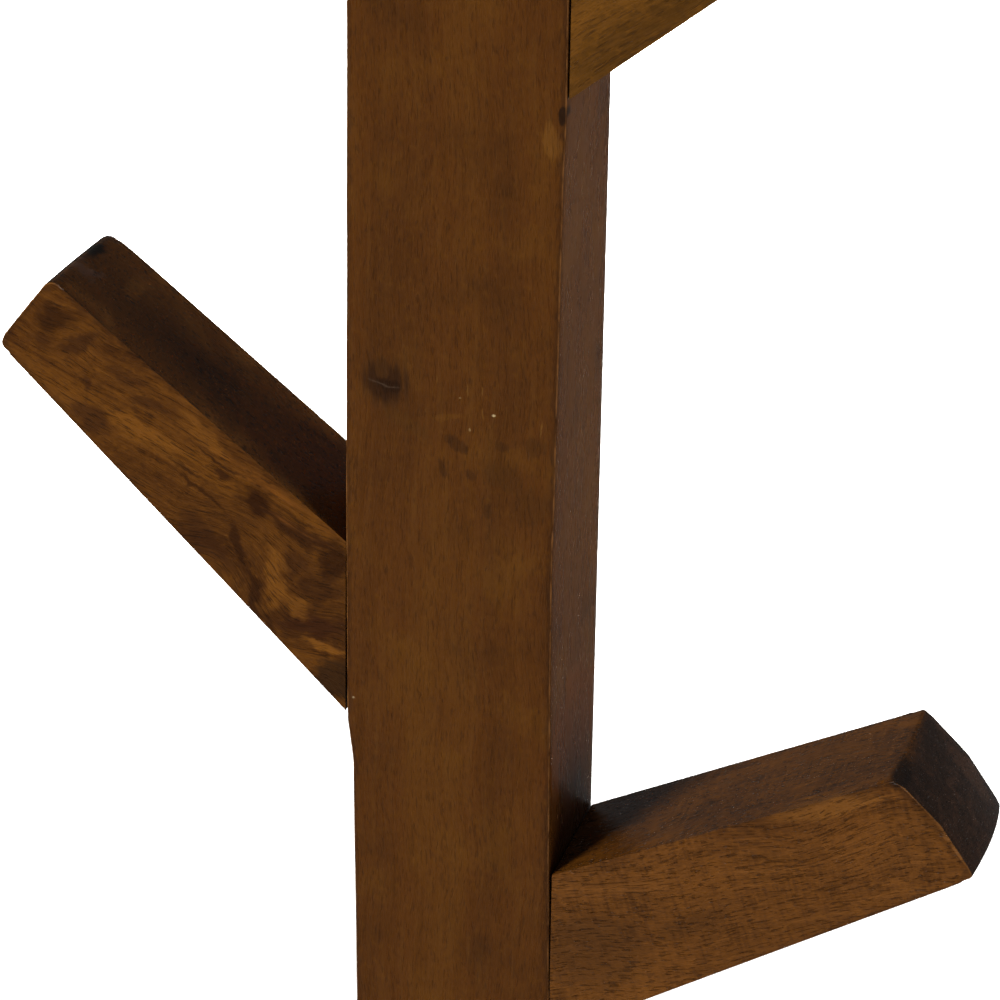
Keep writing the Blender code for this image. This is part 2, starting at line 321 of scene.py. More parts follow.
    # arrises rubbed through the stain here and there, the pale colour partly painted highlight, with a
    # darker line of painted shade along them
    arris_wear_and_light = put(tree, "Attribute", give="Fac", attribute_name="arris_wear_and_light")
    broken = put(tree, "TexNoise", {"Vector": straight, "Scale": 300.0, "Detail": 4.0, "Roughness": 0.6})
    rubbed_and_arris_light = put(tree, "Math", {0: arris_wear_and_light, 1: broken}, operation="SUBTRACT")
    # painted shade: a darker line along the arrises
    tone = lay(tree, tone, "24140a", rubbed_and_arris_light, -0.25, 0.0, 0.35)
    # rubbed golden wood on the arrises, partly painted highlight
    tone = lay(tree, tone, "8a5a2c", rubbed_and_arris_light, 0.30, 0.65, 0.6)
    tree.links.new(tone, shader.inputs["Base Color"])

    polish = {"Value": streak, "From Min": 0.3, "From Max": 0.7, "To Min": 0.22, "To Max": 0.34}
    tree.links.new(put(tree, "MapRange", polish), shader.inputs["Roughness"])
    sunk = {"Value": pore, "From Min": 0.60, "From Max": 0.68, "To Max": -1.0}
    sunk = put(tree, "MapRange", sunk)
    relief = put(tree, "Math", {0: fibre, 1: 0.5, 2: sunk}, operation="MULTIPLY_ADD")
    relief = put(tree, "Math", {0: streak, 1: 0.8, 2: relief}, operation="MULTIPLY_ADD")
    bump = put(tree, "Bump", {"Strength": look["relief"], "Distance": 0.00012, "Height": relief})
    tree.links.new(bump, shader.inputs["Normal"])
    return made


plate_low, plate_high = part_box("base_plate")
base = sawn_block("base_plate_sanded", plate_low, plate_high)
score_box(plate_low, plate_high, PLATE_ARRIS + MARGIN)
sand_arrises(base, PLATE_ARRIS)
for axis in (Vector((1, 0, 0)), Vector((0, 1, 0))):
    reach = (plate_high - plate_low).dot(axis)
    rows = math.floor(reach / PLATE_PITCH)
    for row in range(1, rows):
        score(axis * (plate_low.dot(axis) + row * reach / rows), axis)
finish_mesh(base)

# The bore is cut with a turned cutter: a straight seat, a 45 degree shoulder, and the shank's hole
bpy.ops.object.select_all(action="DESELECT")
bpy.ops.mesh.primitive_cylinder_add(
    vertices=BORE_SIDES, radius=SCREW_HEAD_BORE, depth=2 * SCREW_SEAT_DEPTH, location=(0, 0, plate_low.z)
)
cutter = bpy.context.object
bpy.ops.object.transform_apply(location=True, rotation=True, scale=True)
bpy.ops.object.mode_set(mode="EDIT")
pick(cutter, "FACE", lambda face: face.normal.z > FACES_UP)
draw_out(SCREW_HEAD_BORE - SCREW_SHANK_BORE, SCREW_SHANK_BORE / SCREW_HEAD_BORE)
draw_out(plate_high.z - plate_low.z)
bpy.ops.object.mode_set(mode="OBJECT")
cut_out(base, cutter, "screw bore")
bpy.data.objects.remove(cutter)
base.data.materials.append(
    stained_acacia("acacia stained base plate", 0, 1.3, "6e4312", "50300b", "341d08", bands=0.6)
)
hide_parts("base_plate")

# ---- Post -------------------------------------------------------------------------------------------
# A flat bar of straight-grained acacia, grain upright, planed and then sanded by hand between the pegs, so
# its sides are a little hollow and its front right arris bows. It has one small knot at mid height.

POST_ARRIS = 0.00028
POST_PITCH = 0.003
# Height and depth of the hollows in the left side and along the front right arris
LEFT_HOLLOWS = (
    (0.0, 0.0), (0.139, -0.0001), (0.165, 0.0005), (0.2025, 0.00095), (0.2085, 0.00087),
    (0.2385, 0.00061), (0.2465, -0.0002), (0.277, -0.0002), (0.291, -0.0001), (0.312, 0.00005),
    (0.344, 0.00022), (0.372, 0.0001), (0.378, 0.0), (0.4407, 0.0),
)
RIGHT_HOLLOWS = (
    (0.0, 0.0), (0.098, 0.0), (0.140, 0.0004), (0.175, 0.0003), (0.2015, -0.0004), (0.2185, -0.0001),
    (0.230, 0.00012), (0.244, 0.00028), (0.2575, 0.00044), (0.2705, 0.00053), (0.284, 0.00036),
    (0.306, 0.00023), (0.3235, 0.00012), (0.331, -0.0001), (0.360, 0.0), (0.400, 0.0003),
    (0.4407, 0.0002),
)
post_low, post_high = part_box("post")
POST_FRONT = post_low.y
MARK_DEPTH = 0.0022  # how far a mark on a front goes into the wood
# The knot and its crack, the clouded patch below it with golden flecks, a rubbed place with a nick above
# it on the arris, pale specks, and a warmer stretch of the side that is painted light, where a peg shades
# it
POST_MARKS_AND_PAINTED_LIGHT = (
    ("3c2209", 0.65, (-0.0089, POST_FRONT, 0.2944), (0.0039, MARK_DEPTH, 0.0044), 10),
    ("2e1806", 0.90, (-0.0089, POST_FRONT, 0.2946), (0.0030, MARK_DEPTH, 0.0034), 14),
    ("442709", 0.60, (-0.0092, POST_FRONT, 0.2962), (0.0012, MARK_DEPTH, 0.0016), 14),
    ("221105", 0.65, (-0.0082, POST_FRONT, 0.2940), (0.0020, 0.004, 0.0012), -8),
    ("6a5646", 0.22, (-0.0096, POST_FRONT, 0.2942), (0.0019, 0.004, 0.00014), -12),
    ("6a5646", 0.20, (-0.0076, POST_FRONT, 0.2939), (0.0014, 0.004, 0.00012), 3),
    ("482a08", 0.50, (-0.0060, POST_FRONT, 0.2892), (0.0036, MARK_DEPTH, 0.0012), -28),
    ("361d06", 0.65, (0.0007, POST_FRONT, 0.2873), (0.0018, MARK_DEPTH, 0.0011), -35),
    ("361d06", 0.60, (-0.0005, POST_FRONT, 0.2880), (0.0011, MARK_DEPTH, 0.0008), 20),
    ("361d06", 0.60, (0.0064, POST_FRONT, 0.2880), (0.0013, MARK_DEPTH, 0.0009), -30),
    ("361d06", 0.70, (-0.0011, POST_FRONT, 0.2837), (0.0005, MARK_DEPTH, 0.0016), 8),
    ("361d06", 0.60, (0.0025, POST_FRONT, 0.2833), (0.0008, MARK_DEPTH, 0.0010), 20),
    ("361d06", 0.55, (0.0048, POST_FRONT, 0.2784), (0.0007, MARK_DEPTH, 0.0010), 0),
    ("3e2307", 0.50, (0.0110, POST_FRONT, 0.2884), (0.0018, MARK_DEPTH, 0.0013), 10),
    ("3e2307", 0.45, (0.0071, POST_FRONT, 0.2837), (0.0032, MARK_DEPTH, 0.0024), -30),
    ("3e2307", 0.40, (0.0105, POST_FRONT, 0.2800), (0.0028, MARK_DEPTH, 0.0034), -30),
    ("643d0c", 0.40, (-0.0006, POST_FRONT, 0.2910), (0.0024, MARK_DEPTH, 0.0006), 15),
    ("7a5420", 0.30, (0.0019, POST_FRONT, 0.2950), (0.00014, 0.003, 0.0009), 0),
    ("7a5420", 0.30, (0.0039, POST_FRONT, 0.2953), (0.00014, 0.003, 0.0009), 0),
    ("7a5420", 0.30, (-0.0021, POST_FRONT, 0.2959), (0.00012, 0.003, 0.0008), 0),
    ("7a5420", 0.30, (0.0041, POST_FRONT, 0.2918), (0.00016, 0.003, 0.0011), 4),
    ("7a5420", 0.30, (0.0118, POST_FRONT, 0.2906), (0.00016, 0.003, 0.0013), 0),
    ("6c4413", 0.50, (0.0122, POST_FRONT, 0.3288), (0.0013, 0.004, 0.0028), 0),
    ("1c0f06", 0.85, (0.0137, POST_FRONT, 0.3320), (0.0006, 0.004, 0.0012), 0),
    ("b09a70", 0.85, (0.00567, POST_FRONT, 0.29177), (0.00022, 0.002, 0.00016), 0),
    ("90744a", 0.60, (0.00229, POST_FRONT, 0.28949), (0.00012, 0.002, 0.00020), 0),
    ("90744a", 0.60, (0.00067, POST_FRONT, 0.29403), (0.00016, 0.002, 0.00012), 0),
    # painted light: a warmer, lighter stretch of the right side just above the right middle peg, which
    # shades it
    ("5b2d00", 0.60, (0.0140, 0.0000, 0.2440), (0.0030, 0.0120, 0.0100), 0),
    ("9c8664", 0.70, (-0.0132, POST_FRONT, 0.2486), (0.00024, 0.002, 0.00024), 0),
)


def depth_at(hollows, height):
    """The depth of a hollow at a height, which goes softly from each of its points to the next."""
    for (z0, d0), (z1, d1) in zip(hollows, hollows[1:]):
        if z0 <= height <= z1:
            share = (height - z0) / (z1 - z0)
            return d0 + (d1 - d0) * share * share * (3 - 2 * share)
    return 0.0


post = sawn_block("post_sanded", post_low, post_high)
score_box(post_low, post_high, POST_ARRIS + MARGIN)
foot = post_low.z + POST_ARRIS  # the foot is left sharp, to close on the base plate
sand_arrises(post, POST_ARRIS, lambda edge: max(point.co.z for point in edge.verts) > foot)
# rows of points for the hollows to move
rows = math.floor((post_high.z - post_low.z) / POST_PITCH)
for row in range(1, rows):
    score((0, 0, post_low.z + row * (post_high.z - post_low.z) / rows), (0, 0, 1))
for row in range(-1, 2):
    score((row * post_high.x / 2, 0, 0), (1, 0, 0))
    score((0, row * post_high.y / 2, 0), (0, 1, 0))
finish_mesh(post)
for point in post.data.vertices:
    x, y, z = point.co
    to_left = max(0, -x / post_high.x)
    to_front_right = max(0, x / post_high.x) * max(0, min(1, 0.5 - y / (2 * post_high.y)))
    point.co.x += to_left * depth_at(LEFT_HOLLOWS, z) - to_front_right * depth_at(RIGHT_HOLLOWS, z)
post.data.materials.append(
    stained_acacia(
        "acacia stained post", 90, 0.0, "5e3908", "4e2a06", "341c06", bands=0.3, clouds=0.45,
        streaks=0.25, fibres=0.15, specks=0.22, pores=0.25, pore_size=(0.0018, 0.00028), fine_pores=0.25,
        marks=POST_MARKS_AND_PAINTED_LIGHT, ragged=0.0016, feather=0.40,
    )
)
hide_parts("post")

# ---- Pegs -------------------------------------------------------------------------------------------
# Six tapered pegs of the same acacia, sawn from the board, mitred where they meet the post and sanded to
# a slightly bulging end. Each is held by two dowels, and glue fills the hair line of its joint.

PEG_TAPER = 6.2  # degrees between the top and the underside
PEG_UNDER_EDGE = 0.0658
PEG_ARRIS = 0.00028
GLUE_LINE = 0.0003
PEG_ROWS = 14
TOP_ROWS = 4  # to a worn corner
END_ROWS = 8
END_CROWN = 0.0010
CROWN_PILLOW = 0.2  # how much further the crown's middle stands out than its front and back
CROWN_REACH = 0.0028  # how far in from the end the crown is felt
CROWN_FADE = 0.0018  # over how much of that it grows to its full height
SAW_ROOM = 0.004  # what the blank has over before it is sawn
AT_TIP = 0.0001  # a point this near a corner of the tip is on it

# Each peg: side of the post (1 is right), slope in degrees, height of its root on the post, length of its
# top edge, rounding of its tip above and below
PEGS = {
    "right_lower_peg": (1, 33.0, 0.0250, 0.0497, 0.0006, 0.0010),
    "left_lower_peg": (-1, 38.6, 0.0246, 0.0501, 0.0012, 0.0010),
    "right_middle_peg": (1, 29.9, 0.0251, 0.0500, 0.0003, 0.0005),
    "left_middle_peg": (-1, 40.8, 0.0245, 0.0504, 0.0010, 0.0006),
    "right_upper_peg": (1, 35.5, 0.0248, 0.0498, 0.0006, 0.0010),
    "left_upper_peg": (-1, 37.2, 0.0247, 0.0502, 0.0010, 0.0012),
}
# What the hand sanding left on some, outwards from the even shape: at the root and at the tip of the
# underside, at the back of the top's root and tip, along the end, along the end's lower arris, and off
# the back of the tip's upper corner. One has a facet sanded off the front of that corner: how far it
# reaches down the end, how far up the top, and the y where it runs out.
HAND_LEFT = {
    "right_middle_peg": dict(
        under_root=0.00015, under_tip=0.0004, back_root=0.0003, back_tip=0.0006, end=0.0004, lip=0.0011,
    ),
    "left_middle_peg": dict(
        under_root=0.0003, under_tip=0.0004, back_tip=-0.0002, end=0.0003, corner=0.0003,
    ),
}
FACETS = {"right_middle_peg": (0.0020, 0.0004, 0.0062)}
CORNER = 0.005  # how far down the top a worn corner reaches


def saw(place, outwards):
    """Saws the block off along a plane and throws away what lies outwards of it."""
    bpy.ops.mesh.select_all(action="SELECT")
    bpy.ops.mesh.bisect(plane_co=place, plane_no=outwards, use_fill=True, clear_outer=True)


def peg(name):
    """Saws a peg from its blank, sands it, hands it to the frame and gives it back."""
    side, slope, root_height, top_edge, top_round, under_round = PEGS[name]
    low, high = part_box(name)
    across = Vector((side, 0, 0))
    up = Vector((0, 0, 1))

    def heading(degrees):
        turned = math.radians(degrees)
        return math.cos(turned) * across + math.sin(turned) * up

    top_way, under_way = heading(slope - PEG_TAPER / 2), heading(slope + PEG_TAPER / 2)
    root = Vector(((high if side < 0 else low).x - side * GLUE_LINE, 0, 0))
    root.z = low.z + root_height / 2 - GLUE_LINE * under_way.z / abs(under_way.x)
    top_root, under_root = root + up * root_height / 2, root - up * root_height / 2
    top_tip, under_tip = top_root + top_way * top_edge, under_root + under_way * PEG_UNDER_EDGE
    top_out = heading(slope - PEG_TAPER / 2 + 90)
    under_out = heading(slope + PEG_TAPER / 2 - 90)
    rise = top_tip - under_tip
    end_out = Vector((side * rise.z, 0, -side * rise.x)).normalized()
    middle_way = heading(slope)

    # the blank, then the saw cuts: mitre, top, underside and end
    room = Vector((SAW_ROOM, 0, SAW_ROOM))
    piece = sawn_block(name + "_sanded", low - room, high + room)
    saw(root + across * GLUE_LINE, -across)
    saw(top_root, top_out)
    saw(under_root, under_out)
    saw(under_tip, end_out)
    for tip, rounding in ((top_tip, top_round), (under_tip, under_round)):
        pick(piece, "EDGE", lambda edge: all((point.co - tip).xz.length < AT_TIP for point in edge.verts))
        bpy.ops.mesh.bevel(offset=rounding, segments=4, affect="EDGES")
    for place, way in ((top_root, top_out), (under_root, under_out), (under_tip, end_out)):
        score(place - way * (PEG_ARRIS + MARGIN), way)
    for inwards in (low.y + PEG_ARRIS + MARGIN, high.y - PEG_ARRIS - MARGIN):
        score((0, inwards, 0), (0, 1, 0))

    def off_mitre(edge):
        return min(abs(point.co.x - root.x) for point in edge.verts) > 2 * GLUE_LINE

    sand_arrises(piece, PEG_ARRIS, off_mitre)
    # rows of points for the end's crown, a worn corner and the sanding's unevenness to move
    for row in range(1, PEG_ROWS):
        score(root + middle_way * (PEG_UNDER_EDGE * row / PEG_ROWS), middle_way)
    for row in range(2, TOP_ROWS + 1):
        score(top_tip - top_way * CORNER * row / TOP_ROWS, top_way)
    for row in range(1, END_ROWS):
        score(under_tip + rise * row / END_ROWS, rise)
    for row in range(-2, 3):
        score((0, row * high.y / 3, 0), (0, 1, 0))
    if name in FACETS:
        down_end, up_top, run_out = FACETS[name]
        front = Vector((0, low.y, 0))
        facet_end = top_tip + Vector((0, run_out, 0))
        over_end = top_tip + front - rise.normalized() * down_end - facet_end
        over_top = top_tip + front - top_way * up_top - facet_end
        facet_out = side * over_top.cross(over_end).normalized()
        score(facet_end, facet_out)
    finish_mesh(piece)

    # the facet is cut flat, the end is crowned both ways, and the sanding leaves the rest uneven
    left = {"under_root": 0, "under_tip": 0, "back_root": 0, "back_tip": 0, "end": 0, "lip": 0, "corner": 0}
    left.update(HAND_LEFT.get(name, {}))
    for point in piece.data.vertices:
        if name in FACETS:
            point.co -= facet_out * max(0, (point.co - facet_end).dot(facet_out))
        out = (point.co - under_tip).dot(end_out)
        share = max(0, min(1, (point.co - under_tip).dot(rise) / rise.length_squared))
        pillow = 1 - (point.co.y / high.y) ** 2
        to_back = max(0, min(1, 0.5 + point.co.y / (2 * high.y)))
        near_tip = max(0, 1 - (top_tip - point.co).dot(top_way) / CORNER)
        if out > -CROWN_REACH:
            bulge = END_CROWN * 4 * share * (1 - share) * (1 + CROWN_PILLOW * pillow)
            bulge += left["end"] + left["lip"] * pillow * (1 - share)
            point.co += end_out * bulge * min(1, (out + CROWN_REACH) / CROWN_FADE)
        along = max(0, min(1, (point.co - root).dot(middle_way) / PEG_UNDER_EDGE))
        above = share * to_back * (left["back_root"] + (left["back_tip"] - left["back_root"]) * along)
        above -= left["corner"] * share * to_back * near_tip**2
        below = (1 - share) * (left["under_root"] + (left["under_tip"] - left["under_root"]) * along)
        point.co += top_out * above + under_out * below
    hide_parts(name)
    return piece


PEG_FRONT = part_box("right_middle_peg")[0].y
# The grain of the left middle peg curls past a branch, under dark heartwood clouds and gold between them.
# A broad golden patch on its top near the post is painted light, where the post shades it.
CURLS = (
    ((-0.0275, 0, 0.2640), 0.014, -44),
    ((-0.0180, 0, 0.2560), 0.010, 30),
    ((-0.0530, 0, 0.2955), 0.007, 24),
)
CURL_MARKS_AND_PAINTED_LIGHT = (
    ("301805", 0.85, (-0.0540, PEG_FRONT, 0.2968), (0.0034, MARK_DEPTH, 0.0018), 20),
    ("341b08", 0.75, (-0.0512, PEG_FRONT, 0.2938), (0.0030, MARK_DEPTH, 0.0014), 25),
    ("361c08", 0.65, (-0.0560, PEG_FRONT, 0.2935), (0.0016, MARK_DEPTH, 0.0012), 0),
    ("361c08", 0.70, (-0.0497, PEG_FRONT, 0.2885), (0.0010, MARK_DEPTH, 0.0010), 0),
    ("361c08", 0.55, (-0.0440, PEG_FRONT, 0.2902), (0.0036, MARK_DEPTH, 0.0010), -20),
    ("371d09", 0.75, (-0.0496, PEG_FRONT, 0.2832), (0.0030, MARK_DEPTH, 0.0026), -35),
    ("341b08", 0.60, (-0.0400, PEG_FRONT, 0.2862), (0.0044, MARK_DEPTH, 0.0008), -12),
    ("2a1404", 0.75, (-0.0388, PEG_FRONT, 0.2792), (0.0080, MARK_DEPTH, 0.0005), -28),
    ("2a1404", 0.75, (-0.0318, PEG_FRONT, 0.2800), (0.0046, MARK_DEPTH, 0.0004), -32),
    ("2a1404", 0.70, (-0.0345, PEG_FRONT, 0.2752), (0.0040, MARK_DEPTH, 0.0004), -38),
    ("361c08", 0.75, (-0.0340, PEG_FRONT, 0.2682), (0.0048, MARK_DEPTH, 0.0026), -44),
    ("2f1706", 0.85, (-0.0312, PEG_FRONT, 0.2776), (0.0020, MARK_DEPTH, 0.0012), -25),
    ("2b1404", 0.95, (-0.0268, PEG_FRONT, 0.2748), (0.0030, MARK_DEPTH, 0.0026), -35),
    ("2f1706", 0.85, (-0.0212, PEG_FRONT, 0.2714), (0.0046, MARK_DEPTH, 0.0022), -28),
    ("2b1404", 0.85, (-0.0164, PEG_FRONT, 0.2682), (0.0026, MARK_DEPTH, 0.0030), 0),
    ("2d1605", 0.85, (-0.0290, PEG_FRONT, 0.2684), (0.0040, MARK_DEPTH, 0.0009), -66),
    ("2d1605", 0.85, (-0.0274, PEG_FRONT, 0.2626), (0.0036, MARK_DEPTH, 0.0009), -80),
    ("2d1605", 0.75, (-0.0256, PEG_FRONT, 0.2586), (0.0030, MARK_DEPTH, 0.0008), -52),
    ("331a07", 0.70, (-0.0178, PEG_FRONT, 0.2636), (0.0034, MARK_DEPTH, 0.0022), -10),
    ("341b08", 0.60, (-0.0215, PEG_FRONT, 0.2668), (0.0020, MARK_DEPTH, 0.0024), -60),
    ("351a08", 0.90, (-0.0190, PEG_FRONT, 0.2582), (0.0054, MARK_DEPTH, 0.0017), -2),
    ("2c1a0a", 0.85, (-0.0160, PEG_FRONT, 0.2505), (0.0032, MARK_DEPTH, 0.0040), 20),
    ("744610", 0.45, (-0.0425, PEG_FRONT, 0.2822), (0.0074, MARK_DEPTH, 0.0020), -28),
    ("744610", 0.45, (-0.0330, PEG_FRONT, 0.2836), (0.0044, MARK_DEPTH, 0.0014), -30),
    ("744610", 0.60, (-0.0246, PEG_FRONT, 0.2640), (0.0018, MARK_DEPTH, 0.0052), -10),
    ("744610", 0.50, (-0.0215, PEG_FRONT, 0.2606), (0.0030, MARK_DEPTH, 0.0012), -30),
    ("7a4a12", 0.65, (-0.0176, PEG_FRONT, 0.2555), (0.0040, MARK_DEPTH, 0.0008), -4),
    # painted light: a broad golden patch across the top near the post, where the post shades it
    ("7e4810", 0.75, (-0.0240, 0.0005, 0.2765), (0.0160, 0.010, 0.0040), -38),
    ("6a5248", 0.55, (-0.0524, -0.0005, 0.3008), (0.0024, 0.0040, 0.0003), -38),
    ("0e0703", 0.95, (-0.0536, 0.0035, 0.3015), (0.0012, 0.0034, 0.0009), -38),
)
# The right middle peg's root took more stain. The front of its end's upper arris is sanded off, and that
# facet is painted dark as painted shade; the back of its end has a painted sheen.
ROOT_MARKS_AND_PAINTED_LIGHT = (
    ("38200a", 0.45, (0.0205, PEG_FRONT, 0.2165), (0.0090, MARK_DEPTH, 0.0070), 25),
    ("38200a", 0.30, (0.0330, PEG_FRONT, 0.2230), (0.0070, MARK_DEPTH, 0.0018), 30),
    ("7a4c18", 0.50, (0.0500, PEG_FRONT, 0.2440), (0.0080, MARK_DEPTH, 0.0018), 24),
    # painted shade on the facet sanded off the front of the end's upper arris
    ("0f0805", 0.85, (0.0594, -0.0070, 0.2497), (0.0015, 0.0048, 0.0015), 0),
    ("0f0805", 0.85, (0.0592, -0.0015, 0.2505), (0.0006, 0.0056, 0.0006), 0),
    # painted sheen: a lighter, greyer patch at the back of the end
    ("4a3020", 0.45, (0.0655, 0.0060, 0.2430), (0.0040, 0.0030, 0.0050), 0),
)
# Each peg is cut from another part of the board, so its grain slopes and its figure differs
peg_woods = {
    "right_middle_peg": dict(
        slope=19, seed=0.4, light="724413", middle="532f0b", dark="341d09", bands=0.50, clouds=0.45,
        streaks=0.65, fibres=0.4, pores=0.40, pore_size=(0.0020, 0.00020), fine_pores=0.38, ripple=0.32,
        wander=0.005, marks=ROOT_MARKS_AND_PAINTED_LIGHT, ragged=0.0014, sheen=0.36, relief=1.0,
    ),
    "left_middle_peg": dict(
        slope=-25, seed=1.7, light="663c0b", middle="4d2b08", dark="301806", bands=0.6, wander=0.004,
        pores=0.60, pore_size=(0.0030, 0.00018), streaks=0.75, clouds=0.5, curls=CURLS, marks=CURL_MARKS_AND_PAINTED_LIGHT,
        # its top face is painted lighter and warmer, as painted light
        ragged=0.005, faces=(((0.61, 0, 0.79), "60380f", "764a1b", 0.90),), sheen=0.20,
    ),
    "right_upper_peg": dict(
        slope=38, seed=2.9, light="71460f", middle="523208", dark="382206", bands=0.9, streaks=0.5,
    ),
    "left_upper_peg": dict(slope=-34, seed=3.6, light="6c4212", middle="52300d", dark="3a220b"),
    "left_lower_peg": dict(slope=-42, seed=4.8, light="704614", middle="54320e", dark="3a220c", bands=0.7),
    "right_lower_peg": dict(slope=30, seed=6.1, light="6e4416", middle="52310f", dark="38200b", ripple=0.2),
}
pegs = {}
for name, wood in peg_woods.items():
    pegs[name] = peg(name)
    pegs[name].data.materials.append(stained_acacia("acacia stained " + name.replace("_", " "), **wood))

# ---- Dowels -----------------------------------------------------------------------------------------
# Fluted beech dowels, turned from rod, pressed and chamfered. Bare wood, as they are glued in and hidden.
# Each sits in a bore that runs through the joint into both of its pieces.

DRILL_SIDES = 32
BORE_CLEARANCE = 0.0002
BORE_EXTRA = 0.001  # how much deeper a bore is than what goes into it at each end


def drill(name, axis, radius, *pieces):
    """Drills the bore that the dowel or screw of that name goes into."""
    low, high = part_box(name)
    depth = (high - low)[axis] + 2 * BORE_EXTRA
    turn = (0, math.radians(90), 0) if axis == 0 else (0, 0, 0)
    bpy.ops.object.select_all(action="DESELECT")
    bpy.ops.mesh.primitive_cylinder_add(
        vertices=DRILL_SIDES, radius=radius, depth=depth, location=(low + high) / 2, rotation=turn
    )
    bit = bpy.context.object
    bpy.ops.object.transform_apply(location=True, rotation=True, scale=True)
    for piece in pieces:
        cut_out(piece, bit, name + " bore")
    bpy.data.objects.remove(bit)


for name in [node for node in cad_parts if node.endswith("_dowel")]:
    low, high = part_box(name)
    if "foot" in name:
        drill(name, 2, (high - low).x / 2 + BORE_CLEARANCE, post, base)
    else:
        drill(name, 0, (high - low).z / 2 + BORE_CLEARANCE, post, pegs[name.rsplit("_", 2)[0]])
drill("foot_screw", 2, SCREW_SHANK_BORE, post)

# beech rod, planed and unfinished: pale, close-grained and matt, with small darker flecks
beech, tree, shader = new_material("beech dowel rod", 0.6, 1.46)
rod_place = put(tree, "TexCoord", give="Object")
fleck = put(tree, "TexNoise", {"Vector": rod_place, "Scale": 1400.0, "Detail": 2.0})
tree.links.new(lay(tree, colour("c9a06c"), "a87c4c", fleck, 0.45, 0.70, 1.0), shader.inputs["Base Color"])
for name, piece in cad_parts.items():
    if name.endswith("_dowel"):
        piece.material_slots[0].material = beech

# ---- Screw ------------------------------------------------------------------------------------------
# A countersunk wood screw with a cross recess, cold-formed steel with a rolled thread, zinc-plated bright.
# It is driven up from below and pulls the post down on the base plate.

SCREW_SIDES = 48
SCREW_LENGTH = 0.050
HEAD_RADIUS = 0.0045
HEAD_RIM = 0.0004
SHANK_RADIUS = 0.00225
THREAD_LENGTH = 0.034
THREAD_PITCH = 0.002
THREAD_DEPTH = 0.00065
THREAD_ROWS = 136
THREAD_FLANK = 1.6  # how steeply a flank falls to the root
POINT_LENGTH = 0.006
POINT_BLUNT = 0.08  # how wide the very tip is beside the shank
CROSS_ARM = 0.0048
CROSS_SLOT = 0.0010
CROSS_DEPTH = 0.0018
CROSS_NARROWS = 0.55  # how wide its bottom is beside its top

screw_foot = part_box("foot_screw")[0].z
bpy.ops.object.select_all(action="DESELECT")
bpy.ops.mesh.primitive_circle_add(
    vertices=SCREW_SIDES, radius=HEAD_RADIUS - HEAD_RIM / 2, fill_type="NGON", location=(0, 0, screw_foot)
)
screw = bpy.context.object
screw.name = screw.data.name = "foot_screw_threaded"
bpy.ops.object.transform_apply(location=True, rotation=True, scale=True)
bpy.ops.object.mode_set(mode="EDIT")
bpy.ops.mesh.select_all(action="SELECT")
draw_out(HEAD_RIM / 2, HEAD_RADIUS / (HEAD_RADIUS - HEAD_RIM / 2))
draw_out(HEAD_RIM / 2)
draw_out(HEAD_RADIUS - SHANK_RADIUS, SHANK_RADIUS / HEAD_RADIUS)
draw_out(SCREW_LENGTH - THREAD_LENGTH - HEAD_RIM - HEAD_RADIUS + SHANK_RADIUS)
for row in range(THREAD_ROWS):
    draw_out(THREAD_LENGTH / THREAD_ROWS)
finish_mesh(screw)
for point in screw.data.vertices:
    height = point.co.z - screw_foot
    if height > SCREW_LENGTH - THREAD_LENGTH + THREAD_LENGTH / THREAD_ROWS / 2:
        turn = (height / THREAD_PITCH - math.atan2(point.co.y, point.co.x) / math.tau) % 1
        cut_in = 1 - THREAD_DEPTH / SHANK_RADIUS * min(1, THREAD_FLANK * (1 - abs(2 * turn - 1)))
        pointed = max(POINT_BLUNT, min(1, (SCREW_LENGTH - height) / POINT_LENGTH))
        point.co.x *= cut_in * pointed
        point.co.y *= cut_in * pointed
for arm in ((CROSS_ARM, CROSS_SLOT), (CROSS_SLOT, CROSS_ARM)):
    bpy.ops.object.select_all(action="DESELECT")
    size = (*arm, 2 * CROSS_DEPTH)
    bpy.ops.mesh.primitive_cube_add(size=1, location=(0, 0, screw_foot), scale=size)
    punch = bpy.context.object
    bpy.ops.object.transform_apply(location=True, rotation=True, scale=True)
    bpy.ops.object.mode_set(mode="EDIT")
    pick(punch, "FACE", lambda face: face.normal.z > FACES_UP)
    bpy.ops.transform.resize(value=(CROSS_NARROWS, CROSS_NARROWS, 1), center_override=(0, 0, 0))
    bpy.ops.object.mode_set(mode="OBJECT")
    cut_out(screw, punch, "cross recess")
    bpy.data.objects.remove(punch)
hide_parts("foot_screw")

# Bright zinc plating, with the faint blue and straw spangle of its passivation
zinc, tree, shader = new_material("zinc-plated steel", 0.32, 1.5, 1.0)
screw_place = put(tree, "TexCoord", give="Object")
spangle = put(tree, "TexNoise", {"Vector": screw_place, "Scale": 900.0, "Detail": 3.0})
zinc_tone = lay(tree, colour("b9bbbd"), "8f9398", spangle, 0.40, 0.60, 1.0)
zinc_tone = lay(tree, zinc_tone, "b8ae94", spangle, 0.58, 0.72, 0.6)
tree.links.new(zinc_tone, shader.inputs["Base Color"])
bright = {"Value": spangle, "From Min": 0.3, "From Max": 0.7, "To Min": 0.25, "To Max": 0.42}
tree.links.new(put(tree, "MapRange", bright), shader.inputs["Roughness"])
screw.data.materials.append(zinc)

# ---- Felt discs -------------------------------------------------------------------------------------
# Die-cut brown wool felt, glued under the base plate's corners so that it doesn't scratch the table. The
# cut edge is a little ragged and the faces are pressed uneven.

